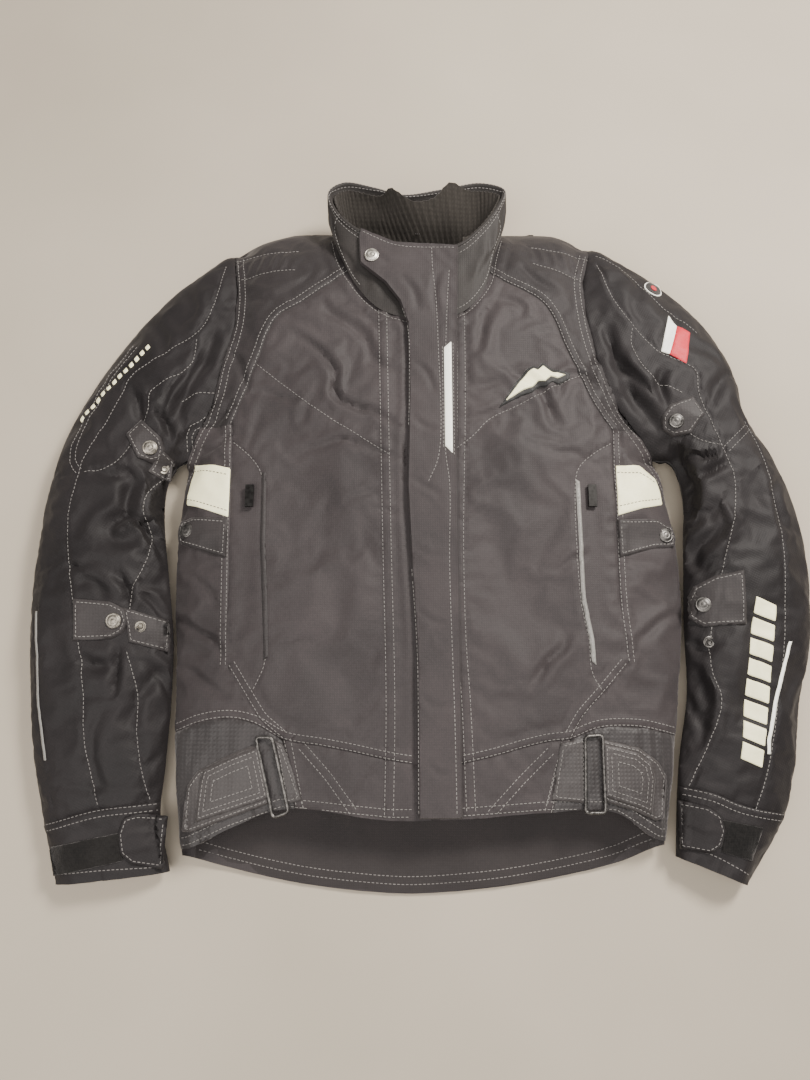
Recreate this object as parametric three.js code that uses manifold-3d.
// Textile riding jacket lying flat on its back, front side up.
// Millimetres, +X towards the wearer's left, +Y towards the collar, +Z up from the surface it lies on.
import * as THREE from 'three';
import { mergeVertices } from 'three/addons/utils/BufferGeometryUtils.js';
import Module from 'manifold-3d';

const wasm = await Module();
wasm.setup();

// ---- driving dimensions -------------------------------------------------------------------------
const GAP = 0.3; // clearance between touching pieces
const WALL = 3; // shell fabric with its lining
const SPLIT_Z = 20; // height of the side seam between back and front
const FRONT_HEIGHT = 54.5; // height of the front at Y = 0
const FRONT_SLOPE = 0.0275; // rise of the front towards the collar
const FLAP_LIFT = 4.4; // room under the storm flap for the zip slider
const FLAP_THICKNESS = 3;
const ZIP_X = 12; // centre line of the main zip
const ZIP_WIDTH = 8;
const ZIP_TOP = 197;
const ZIP_BOTTOM = -284;
const SNAP_RADIUS = 7.5; // 15 mm ring snaps
const SNAP_HEIGHT = 3;
const COLLAR_WALL = 3.8;
const NECK_CLEARANCE = 1.2; // between the collar and the edge of the neck hole
const TAB_THICKNESS = 2;
const FAR = 400; // cutting solids reach this far out,
const ABOVE = 120; // this high
const BELOW = -10; // and this low
const UNDERARM = 4; // Y where the armhole ends
const ARMHOLE_END = 330;
const PAD_THICKNESS = 5.7;
const BACK_PAD_THICKNESS = 8.7;

// ---- materials ----------------------------------------------------------------------------------
const cloth = (color) => new THREE.MeshStandardMaterial({ color, roughness: 0.85, metalness: 0 });
const metal = (color) => new THREE.MeshStandardMaterial({ color, roughness: 0.35, metalness: 0.9 });
const MATERIALS = {
  shell: cloth(0x4a4443),
  panel: cloth(0x3a3535),
  elastic: cloth(0x332f2f),
  knit: cloth(0x2c2a28),
  webbing: cloth(0x3f3b3a),
  reflective: cloth(0xd8d6c8),
  foam: cloth(0x8a8f86),
  zipTape: cloth(0x1f1e1e),
  hookAndLoop: cloth(0x45403e),
  snap: metal(0xc9c3b2),
  dark: metal(0x5c5852),
};

// ---- solids -------------------------------------------------------------------------------------
function toSolid(geometry) {
  geometry.deleteAttribute('normal');
  geometry.deleteAttribute('uv');
  const merged = mergeVertices(geometry, 1e-4);
  const vertProperties = new Float32Array(merged.attributes.position.array);
  const triVerts = new Uint32Array(merged.index.array);
  return new wasm.Manifold(new wasm.Mesh({ numProp: 3, vertProperties, triVerts }));
}

function toGeometry(solid) {
  const { vertProperties, triVerts } = solid.getMesh();
  const geometry = new THREE.BufferGeometry();
  geometry.setAttribute('position', new THREE.BufferAttribute(new Float32Array(vertProperties), 3));
  geometry.setIndex(new THREE.BufferAttribute(new Uint32Array(triVerts), 1));
  geometry.computeVertexNormals();
  return geometry;
}

function prismGeometry(outline, low, high) {
  const shape = new THREE.Shape(outline.map(([x, y]) => new THREE.Vector2(x, y)));
  const geometry = new THREE.ExtrudeGeometry(shape, { depth: high - low, bevelEnabled: false });
  return geometry.translate(0, 0, low);
}

const prism = (outline, low, high) => toSolid(prismGeometry(outline, low, high));

function block(low, high) {
  const size = low.map((value, i) => high[i] - value);
  const centre = low.map((value, i) => (high[i] + value) / 2);
  return toSolid(new THREE.BoxGeometry(...size).translate(...centre));
}

// A closed solid through rings of points, which all have the same count.
function loft(rings) {
  const count = rings[0].length;
  const index = [];
  for (let ring = 0; ring + 1 < rings.length; ring += 1) {
    for (let i = 0; i < count; i += 1) {
      const next = (i + 1) % count;
      const a = ring * count + i;
      const b = ring * count + next;
      index.push(a, b, b + count, a, b + count, a + count);
    }
  }
  const last = (rings.length - 1) * count;
  for (let i = 1; i + 1 < count; i += 1) {
    index.push(0, i + 1, i, last, last + i, last + i + 1);
  }
  const points = rings.flat().map((point) => new THREE.Vector3(...point));
  let volume = 0;
  for (let i = 0; i < index.length; i += 3) {
    const [a, b, c] = [points[index[i]], points[index[i + 1]], points[index[i + 2]]];
    volume += a.dot(b.clone().cross(c));
  }
  if (volume < 0) {
    index.reverse();
  }
  const geometry = new THREE.BufferGeometry().setFromPoints(points);
  geometry.setIndex(index);
  return toSolid(geometry);
}

// A thin upright wall along a line of points, which parts two panels.
function seam(points, low, high, width = GAP) {
  let wall = null;
  for (let i = 0; i + 1 < points.length; i += 1) {
    const [x0, y0] = points[i];
    const [x1, y1] = points[i + 1];
    const length = Math.hypot(x1 - x0, y1 - y0) + width;
    const piece = new THREE.BoxGeometry(length, width, high - low)
      .rotateZ(Math.atan2(y1 - y0, x1 - x0))
      .translate((x0 + x1) / 2, (y0 + y1) / 2, (low + high) / 2);
    wall = wall ? wall.add(toSolid(piece)) : toSolid(piece);
  }
  return wall;
}

// The separate piece of a cut solid that stands over the point x, y.
function pieceAt(pieces, x, y, low, high) {
  const probe = block([x - 1, y - 1, low], [x + 1, y + 1, high]);
  return pieces.find((piece) => !piece.intersect(probe).isEmpty());
}

// The height of a solid's top at x, y.
function topAt(solid, x, y) {
  const mesh = new THREE.Mesh(toGeometry(solid), new THREE.MeshBasicMaterial());
  const ray = new THREE.Raycaster(new THREE.Vector3(x, y, 500), new THREE.Vector3(0, 0, -1));
  const hit = ray.intersectObject(mesh)[0];
  return hit ? hit.point.z : 0;
}

// ---- the body of the jacket ---------------------------------------------------------------------
// Cross-section of the body: share of the half width, share of the height.
const BODY_SECTION = [
  [0.82, 0], [0.93, 0.05], [0.985, 0.18], [1, 0.42], [0.985, 0.66], [0.93, 0.84], [0.8, 0.95], [0.5, 1],
];
const frontHeight = (y) => FRONT_HEIGHT + FRONT_SLOPE * y;

// Stations up the body: y, left edge, right edge, underside, top.
const BODY_STATIONS = [
  [-375, -214, 218, 0, frontHeight(-375)],
  [-300, -227, 228, 0, frontHeight(-300)],
  [-240, -234, 240, 0, frontHeight(-240)],
  [-130, -240, 256, 0, frontHeight(-130)],
  [-40, -246, 258, 0, frontHeight(-40)],
  [56, -240, 246, 0, frontHeight(56)],
  [150, -248, 246, 0, frontHeight(150)],
  [205, -240, 234, 0, frontHeight(205)],
  [260, -232, 224, 0, 56],
  [287, -218, 214, 1, 48],
  [301, -196, 194, 3, 41],
  [315, -163, 168, 7, 33],
  [325, -134, 142, 10, 26],
];

function bodyForm(offset, stretch = 0) {
  const half = BODY_SECTION.map(([u, v]) => [u, v]);
  const section = [...half, ...half.map(([u, v]) => [-u, v]).reverse()];
  const stations = BODY_STATIONS.map((station) => [...station]);
  stations[0][0] -= stretch;
  stations[stations.length - 1][0] += offset;
  return loft(stations.map(([y, left, right, low, high]) => section.map(([u, v]) => [
    u > 0 ? u * (right + offset) : -u * (left - offset),
    y,
    low - offset + v * (high - low + 2 * offset),
  ])));
}

// ---- the sleeves --------------------------------------------------------------------------------
const SLEEVE_SECTION = [[0.62, 0], [0.87, 0.07], [0.98, 0.25], [1, 0.48], [0.97, 0.72], [0.84, 0.91], [0.5, 1]];

// Stations down each sleeve: outer edge x, y, inner edge x, y, height.
const SLEEVE_STATIONS = {
  right: [
    [-170, 318, -205, 50, 50],
    [-207, 303, -245, 58, 52],
    [-276, 232, -255, 43, 54],
    [-329, 159, -262, 21, 54],
    [-361, 93, -265, -8, 54],
    [-379, 17, -263, -44, 53],
    [-385.5, -67, -255, -90, 50],
    [-382, -136, -247, -133, 47],
    [-375, -193, -245, -191, 44],
    [-365, -249, -248, -249, 40],
    [-354, -293, -249, -287, 36],
    [-337, -350, -235, -339, 32],
  ],
  left: [
    [162, 325, 208, 52, 50],
    [193, 309, 248, 62, 52],
    [252, 262, 257, 58, 54],
    [308, 208, 266, 40, 54],
    [339, 130, 273, 15, 54],
    [368, 60, 274, -15, 53],
    [385.5, -31, 270, -67, 51],
    [380, -126, 265, -116, 47],
    [364, -189, 263, -179, 44],
    [353, -249, 247, -240, 40],
    [341, -287, 241, -272, 36],
    [300, -351, 236, -326, 32],
  ],
};

function sleeveForm(side, offset, stretch = 0) {
  const section = [...SLEEVE_SECTION, ...SLEEVE_SECTION.map(([u, v]) => [-u, v]).reverse()];
  const stations = SLEEVE_STATIONS[side].map((station) => [...station]);
  const last = stations[stations.length - 1];
  last[1] -= stretch;
  last[3] -= stretch;
  stations[0][0] -= Math.sign(stations[0][0]) * stretch;
  stations[0][2] -= Math.sign(stations[0][2]) * stretch;
  return loft(stations.map(([x0, y0, x1, y1, height]) => {
    const length = Math.hypot(x1 - x0, y1 - y0);
    const grow = (length + 2 * offset) / length;
    return section.map(([u, v]) => [
      (x0 + x1) / 2 + (u * grow * (x0 - x1)) / 2,
      (y0 + y1) / 2 + (u * grow * (y0 - y1)) / 2,
      -offset + v * (height + 2 * offset),
    ]);
  }));
}

// The seam between the body and each sleeve, from the shoulder tip to the underarm.
const ARMHOLE = {
  right: [[-206, 330], [-201, 287], [-194, 242], [-193, 200], [-204, 150], [-212, 112], [-238, 56], [-262, 4]],
  left: [[189, 330], [183, 287], [173, 250], [174, 210], [182, 165], [204, 105], [241, 57], [262, 4]],
};
const bodySide = {
  right: prism([...ARMHOLE.right, [FAR, UNDERARM], [FAR, ARMHOLE_END]], BELOW, ABOVE),
  left: prism([...ARMHOLE.left, [-FAR, UNDERARM], [-FAR, ARMHOLE_END]], BELOW, ABOVE),
};

// ---- collar -------------------------------------------------------------------------------------
const COLLAR_STEPS = 24;
const COLLAR_BASE = { halfWidth: 86, front: 201, back: 323, frontZ: frontHeight(201), backZ: 14 };
const COLLAR_TOP = { halfWidth: 84, front: 277, back: 360, frontZ: frontHeight(277), backZ: 50 };

function collarRing(edge, offset, drop) {
  const points = [];
  const depth = edge.back - edge.front;
  for (let i = 0; i < COLLAR_STEPS; i += 1) {
    const angle = (2 * Math.PI * i) / COLLAR_STEPS;
    const backness = (1 + Math.sin(angle)) / 2;
    points.push([
      (edge.halfWidth - offset) * Math.cos(angle),
      edge.front + offset + (depth - 2 * offset) * backness,
      edge.frontZ + (edge.backZ - edge.frontZ) * backness - (offset + drop) * (1 - backness),
    ]);
  }
  return points;
}

const OPEN_BY = 15; // how far a cutting solid runs on above and below the collar
const moved = (ring, by) => ring.map(([x, y, z]) => [x, y, z + by]);

// The space inside the collar at a depth below its outer face.
function collarPlug(offset, open = false) {
  const base = collarRing(COLLAR_BASE, offset, 0);
  const top = collarRing(COLLAR_TOP, offset, 0);
  return loft(open ? [moved(base, -OPEN_BY), base, top, moved(top, OPEN_BY)] : [base, top]);
}

// The hole that the collar stands in.
function neckHole() {
  const sunk = moved(collarRing(COLLAR_BASE, -NECK_CLEARANCE, 10), -1);
  const base = collarRing(COLLAR_BASE, -NECK_CLEARANCE, 0);
  const top = collarRing(COLLAR_TOP, -NECK_CLEARANCE, 0);
  return loft([sunk, base, top, moved(top, OPEN_BY)]);
}

// ---- assembly -----------------------------------------------------------------------------------
const jacket = new THREE.Group();
const solids = {};

function add(name, solid, material) {
  const mesh = new THREE.Mesh(toGeometry(solid), material);
  mesh.name = name;
  jacket.add(mesh);
  solids[name] = solid;
}

// A patch that follows a form, between two heights above its surface and inside an outline.
function patch(form, outline, low, high, floor = SPLIT_Z + 3) {
  return prism(outline, floor, ABOVE).intersect(form(high)).subtract(form(low));
}

// A round fastener that rests on a solid.
function cap(under, x, y, radius, height) {
  let z = topAt(under, x, y);
  for (let i = 0; i < 8; i += 1) {
    const angle = (Math.PI * i) / 4;
    z = Math.max(z, topAt(under, x + radius * Math.cos(angle), y + radius * Math.sin(angle)));
  }
  const shape = new THREE.CylinderGeometry(radius * 0.86, radius, height, 16).rotateX(Math.PI / 2);
  return toSolid(shape.translate(x, y, z + GAP + height / 2));
}

const bySide = (side, right, left) => (side === 'right' ? right : left);
const SIDES = ['right', 'left'];

// Body shell, opened at the neck, the hem and the armholes.
const HEM_FRONT = [
  [-260, -322], [-213, -317], [-174, -299], [-125, -282], [-29, -292], [30, -291], [112, -285], [175, -285],
  [214, -309], [260, -314],
];
const HEM_BACK = [
  [-260, -318], [-226, -324], [-179, -337], [-113, -351], [-39, -359], [-2, -360], [73, -354], [129, -345],
  [185, -332], [228, -315], [270, -311],
];
const shell = bodyForm(0).subtract(bodyForm(-WALL, 10))
  .subtract(neckHole())
  .intersect(bodySide.right)
  .intersect(bodySide.left)
  .add(bodyForm(0).subtract(bodyForm(-WALL, 10))
    .intersect(block([-FAR, -FAR, BELOW], [FAR, UNDERARM + 0.5, ABOVE])));

const backCut = prism([...HEM_BACK, [270, -420], [-260, -420]], -10, SPLIT_Z + 1);
const frontCut = prism([...HEM_FRONT, [260, -420], [-260, -420]], SPLIT_Z - 1, ABOVE);
add('back_panel', shell.intersect(block([-FAR, -FAR, BELOW], [FAR, FAR, SPLIT_Z - GAP / 2])).subtract(backCut),
  MATERIALS.shell);

// Seams of the front.
const YOKE_SEAM = {
  right: [[-60, 262], [-125, 218], [-152, 200], [-173, 134], [-190, 89], [-240, 96]],
  left: [[60, 262], [125, 222], [144, 196], [173, 112], [193, 84], [240, 92]],
};
const SIDE_SEAM = {
  right: [[-190, 89], [-187, 0], [-184, -153], [-130, -219]],
  left: [[193, 84], [190, -20], [194, -152], [138, -219]],
};
const WAIST_SEAM = {
  right: [[-262, -226], [-205, -205], [-160, -205], [-130, -219], [-93, -227], [12, -244]],
  left: [[262, -226], [205, -210], [164, -211], [138, -219], [92, -228], [12, -248]],
};
const HEM_SEAM = { right: [[-130, -219], [-104, -310]], left: [[138, -219], [104, -310]] };
const FRONT_TOP = 100;
let front = shell.intersect(block([-FAR, -FAR, SPLIT_Z + GAP / 2], [FAR, FAR, FRONT_TOP])).subtract(frontCut);
for (const side of SIDES) {
  for (const line of [YOKE_SEAM, SIDE_SEAM, WAIST_SEAM, HEM_SEAM]) {
    front = front.subtract(seam(line[side], SPLIT_Z - 1, FRONT_TOP));
  }
}
front = front.subtract(block([ZIP_X - ZIP_WIDTH / 2, -330, SPLIT_Z], [ZIP_X + ZIP_WIDTH / 2, 230, FRONT_TOP]));
const frontPieces = front.decompose();
const PANELS = {
  yoke: [[-150, 250], [150, 250], MATERIALS.panel],
  front_panel: [[-100, 0], [100, 0], MATERIALS.shell],
  side_panel: [[-215, -40], [225, -40], MATERIALS.panel],
  elastic_waist: [[-180, -240], [190, -240], MATERIALS.elastic],
  hem_panel: [[-60, -260], [60, -260], MATERIALS.shell],
};
for (const [name, [right, left, material]] of Object.entries(PANELS)) {
  add(`${name}_right`, pieceAt(frontPieces, ...right, SPLIT_Z + 6, FRONT_TOP), material);
  add(`${name}_left`, pieceAt(frontPieces, ...left, SPLIT_Z + 6, FRONT_TOP), material);
}

// Collar: the outer shell and the knitted inner rib.
add('collar_outer', collarPlug(0).subtract(collarPlug(COLLAR_WALL, true)), MATERIALS.shell);
add('collar_rib', collarPlug(COLLAR_WALL + GAP).subtract(collarPlug(2 * COLLAR_WALL, true)), MATERIALS.knit);

// Pieces that follow the sloping front plane, at a height above it.
function onFront(outline, low, high) {
  const shear = new THREE.Matrix4().set(1, 0, 0, 0, 0, 1, 0, 0, 0, FRONT_SLOPE, 1, FRONT_HEIGHT, 0, 0, 0, 1);
  return toSolid(prismGeometry(outline, low, high).applyMatrix4(shear));
}
const rectangle = (x0, x1, y0, y1) => [[x0, y0], [x1, y0], [x1, y1], [x0, y1]];

const FLAP_OUTLINE = [
  [36, -290], [36, 277], [-26, 281], [-61, 294], [-63, 258], [-34, 232], [-20, 216], [-14, 190], [-15, 20],
  [-12, -60], [-7, -140], [-4, -290],
];
const flapTop = FLAP_LIFT + FLAP_THICKNESS;
add('storm_flap', onFront(FLAP_OUTLINE, FLAP_LIFT, flapTop), MATERIALS.shell);
add('flap_piping', onFront([[24, 62], [31, 54], [31, 171], [24, 163]], flapTop + GAP, flapTop + 1.5),
  MATERIALS.reflective);
const collarSnap = new THREE.Vector2(-50, 264);
add('collar_snap_cap', cap(solids.storm_flap, collarSnap.x, collarSnap.y, SNAP_RADIUS, SNAP_HEIGHT),
  MATERIALS.snap);

// Main zip under the flap.
const zipHalf = ZIP_WIDTH / 2 - GAP;
add('main_zip_chain', onFront(rectangle(ZIP_X - zipHalf, ZIP_X + zipHalf, ZIP_BOTTOM, ZIP_TOP), -WALL, -0.8),
  MATERIALS.zipTape);
add('main_zip_slider', onFront(rectangle(ZIP_X - 5, ZIP_X + 5, ZIP_TOP - 16, ZIP_TOP - 4), GAP, 3.6),
  MATERIALS.dark);
add('main_zip_pull', onFront(rectangle(ZIP_X - 3, ZIP_X + 3, ZIP_TOP - 44, ZIP_TOP - 16 - GAP), GAP, 2.2),
  MATERIALS.dark);

// Hand pockets: a piped mouth in each front panel with its own slider.
const POCKET_PIPING = {
  right: [[-160, 36], [-155, 36], [-150, -88], [-146, -150], [-151, -150], [-155, -88]],
  left: [[153, 30], [158, 30], [158, -90], [166, -152], [161, -152], [153, -90]],
};
const POCKET_SLIDER = { right: [-168, 22], left: [168, 22] };
for (const side of SIDES) {
  add(`pocket_piping_${side}`, patch(bodyForm, POCKET_PIPING[side], GAP, 2.4), MATERIALS.reflective);
  const [x, y] = POCKET_SLIDER[side];
  add(`pocket_slider_${side}`, patch(bodyForm, rectangle(x - 4, x + 4, y - 22, y), GAP, 3.6), MATERIALS.dark);
}

// Side adjuster tabs and the reflective patches above them.
const SIDE_TAB = {
  right: [[-191, -10], [-236, -5], [-243, -10], [-243, -30], [-234, -35], [-191, -50]],
  left: [[194, -11], [238, -9], [254, -16], [254, -36], [230, -38], [194, -51]],
};
const SIDE_SNAP = { right: [-226, -20], left: [236, -23] };
const REFLECTOR = {
  right: [[-192, 41], [-189, -6], [-232, 2], [-228, 50]],
  left: [[194, 43], [192, -7], [238, 2], [240, 30], [222, 46]],
};
for (const side of SIDES) {
  add(`reflector_${side}`, patch(bodyForm, REFLECTOR[side], GAP, 1.5), MATERIALS.reflective);
  add(`side_tab_${side}`, patch(bodyForm, SIDE_TAB[side], GAP, GAP + TAB_THICKNESS), MATERIALS.panel);
  add(`side_snap_${side}`, cap(solids[`side_tab_${side}`], ...SIDE_SNAP[side], SNAP_RADIUS, SNAP_HEIGHT),
    MATERIALS.dark);
}

// Waist adjusters: a webbing strap, its folded-back tail, the loop it runs through and the keeper.
const BELT = {
  right: [[-150, -227], [-208, -252], [-216, -262], [-216, -302], [-138.6, -275]],
  left: [[165, -222], [200, -230], [226, -253], [219, -293], [196, -286], [164, -276]],
};
const BELT_TAIL_END = { right: -204, left: 212 };
const RING = {
  right: [[-150.4, -221], [-136, -219], [-120, -282], [-134.5, -287]],
  left: [[150, -220], [164.4, -219], [163.4, -284], [147, -283]],
};
const KEEPER = {
  right: [[-134.2, -223], [-128, -226], [-110, -272], [-121, -275]],
  left: [[128, -225], [149.2, -222], [146.8, -275], [118, -272]],
};
const RING_HOLE = { width: 0.56, length: 0.9 }; // shares of the ring's outline
for (const side of SIDES) {
  const corners = RING[side].map(([x, y]) => new THREE.Vector2(x, y));
  const centre = corners.reduce((sum, point) => sum.add(point), new THREE.Vector2())
    .divideScalar(corners.length);
  const hole = RING[side].map(([x, y]) => [
    centre.x + (x - centre.x) * RING_HOLE.width,
    centre.y + (y - centre.y) * RING_HOLE.length,
  ]);
  const tailEdge = prism(rectangle(...[0, BELT_TAIL_END[side]].sort((a, b) => a - b), -330, -190), 0, ABOVE);
  add(`waist_belt_${side}`, patch(bodyForm, BELT[side], GAP, 2.2), MATERIALS.webbing);
  add(`belt_tail_${side}`, patch(bodyForm, BELT[side], 2.6, 4.6).intersect(tailEdge), MATERIALS.webbing);
  add(`waist_ring_${side}`, patch(bodyForm, RING[side], GAP, 3.6)
    .subtract(prism(hole, 0, ABOVE)), MATERIALS.dark);
  add(`waist_keeper_${side}`, patch(bodyForm, KEEPER[side], GAP, 2.4), MATERIALS.webbing);
}

// Sleeves: an upper sleeve, a forearm and a cuff, each a tube.
const ELBOW_SEAM = { right: [[-400, 40], [-255, -30]], left: [[400, 68], [255, -4]] };
const CUFF_SEAM = { right: [[-400, -292], [-225, -274]], left: [[400, -299], [225, -258]] };
const SLEEVE_PIECES = {
  upper_sleeve: [[-300, 120], [300, 120]],
  forearm: [[-310, -150], [320, -150]],
  cuff: [[-295, -315], [285, -302]],
};
for (const side of SIDES) {
  const form = (offset, stretch) => sleeveForm(side, offset, stretch);
  let tube = form(0).subtract(form(-WALL, 12)).subtract(bodySide[side])
    .subtract(seam(ARMHOLE[side], BELOW, ABOVE, 2 * GAP));
  for (const line of [ELBOW_SEAM, CUFF_SEAM]) {
    tube = tube.subtract(seam(line[side], BELOW, ABOVE));
  }
  const pieces = tube.decompose();
  for (const [name, [right, left]] of Object.entries(SLEEVE_PIECES)) {
    add(`${name}_${side}`, pieceAt(pieces, ...bySide(side, right, left), 25, 80), MATERIALS.shell);
  }
}

// Snap tabs on the sleeves.
const UPPER_TAB = {
  right: [[-284, 92], [-262, 72], [-262, 58], [-272, 52], [-286, 58], [-298, 76]],
  left: [[276, 118], [256, 108], [250, 90], [258, 80], [272, 80], [286, 98]],
};
const UPPER_SNAP = { right: [-273, 65], left: [262, 92] };
const FOREARM_TAB = {
  right: [[-333, -91], [-293, -94], [-281, -110], [-289, -128], [-330, -129]],
  left: [[310, -64], [286, -68], [272, -82], [272, -104], [284, -114], [310, -112]],
};
const FOREARM_SNAP = { right: [-294, -111], left: [284, -92] };
const CUFF_TAB = {
  right: [[-240, -290], [-270, -290], [-276, -300], [-274, -320], [-264, -330], [-238, -334]],
  left: [[240, -276], [272, -284], [276, -296], [274, -312], [264, -322], [240, -318]],
};
const CUFF_LOOP = {
  right: [[-277, -301], [-345, -315], [-338, -341], [-276, -326]],
  left: [[277.5, -290], [312, -297], [300, -326], [276, -322]],
};
for (const side of SIDES) {
  const form = (offset) => sleeveForm(side, offset);
  const tabTop = GAP + TAB_THICKNESS;
  add(`upper_tab_${side}`, patch(form, UPPER_TAB[side], GAP, tabTop), MATERIALS.panel);
  add(`upper_snap_${side}`, cap(solids[`upper_tab_${side}`], ...UPPER_SNAP[side], SNAP_RADIUS, SNAP_HEIGHT),
    MATERIALS.snap);
  add(`forearm_tab_${side}`, patch(form, FOREARM_TAB[side], GAP, tabTop), MATERIALS.panel);
  add(`forearm_snap_${side}`, cap(solids[`forearm_tab_${side}`], ...FOREARM_SNAP[side], SNAP_RADIUS,
    SNAP_HEIGHT), MATERIALS.snap);
  add(`cuff_tab_${side}`, patch(form, CUFF_TAB[side], GAP, tabTop, 20), MATERIALS.panel);
  add(`cuff_loop_${side}`, patch(form, CUFF_LOOP[side], GAP, 1.8, 18), MATERIALS.hookAndLoop);
}

// Armour: shoulder and elbow pads inside the sleeves, and the back pad inside the back panel.
const PAD = {
  shoulder: { right: [[-212, 270], [-206, 200], [-222, 130], [-300, 150], [-262, 220]],
    left: [[190, 270], [186, 200], [210, 120], [296, 150], [262, 222]] },
  elbow: { right: [[-352, 20], [-290, -6], [-286, -130], [-352, -130]],
    left: [[352, 30], [292, 0], [290, -120], [352, -120]] },
};
for (const side of SIDES) {
  const form = (offset) => sleeveForm(side, offset, 0);
  for (const [name, outlines] of Object.entries(PAD)) {
    add(`${name}_pad_${side}`, patch(form, outlines[side], -WALL - GAP - PAD_THICKNESS, -WALL - GAP),
      MATERIALS.foam);
  }
}
add('back_pad', prism([[-90, -140], [90, -140], [120, -60], [120, 120], [80, 220], [-80, 220], [-120, 120],
  [-120, -60]], WALL + GAP, WALL + GAP + BACK_PAD_THICKNESS), MATERIALS.foam);

export default jacket;
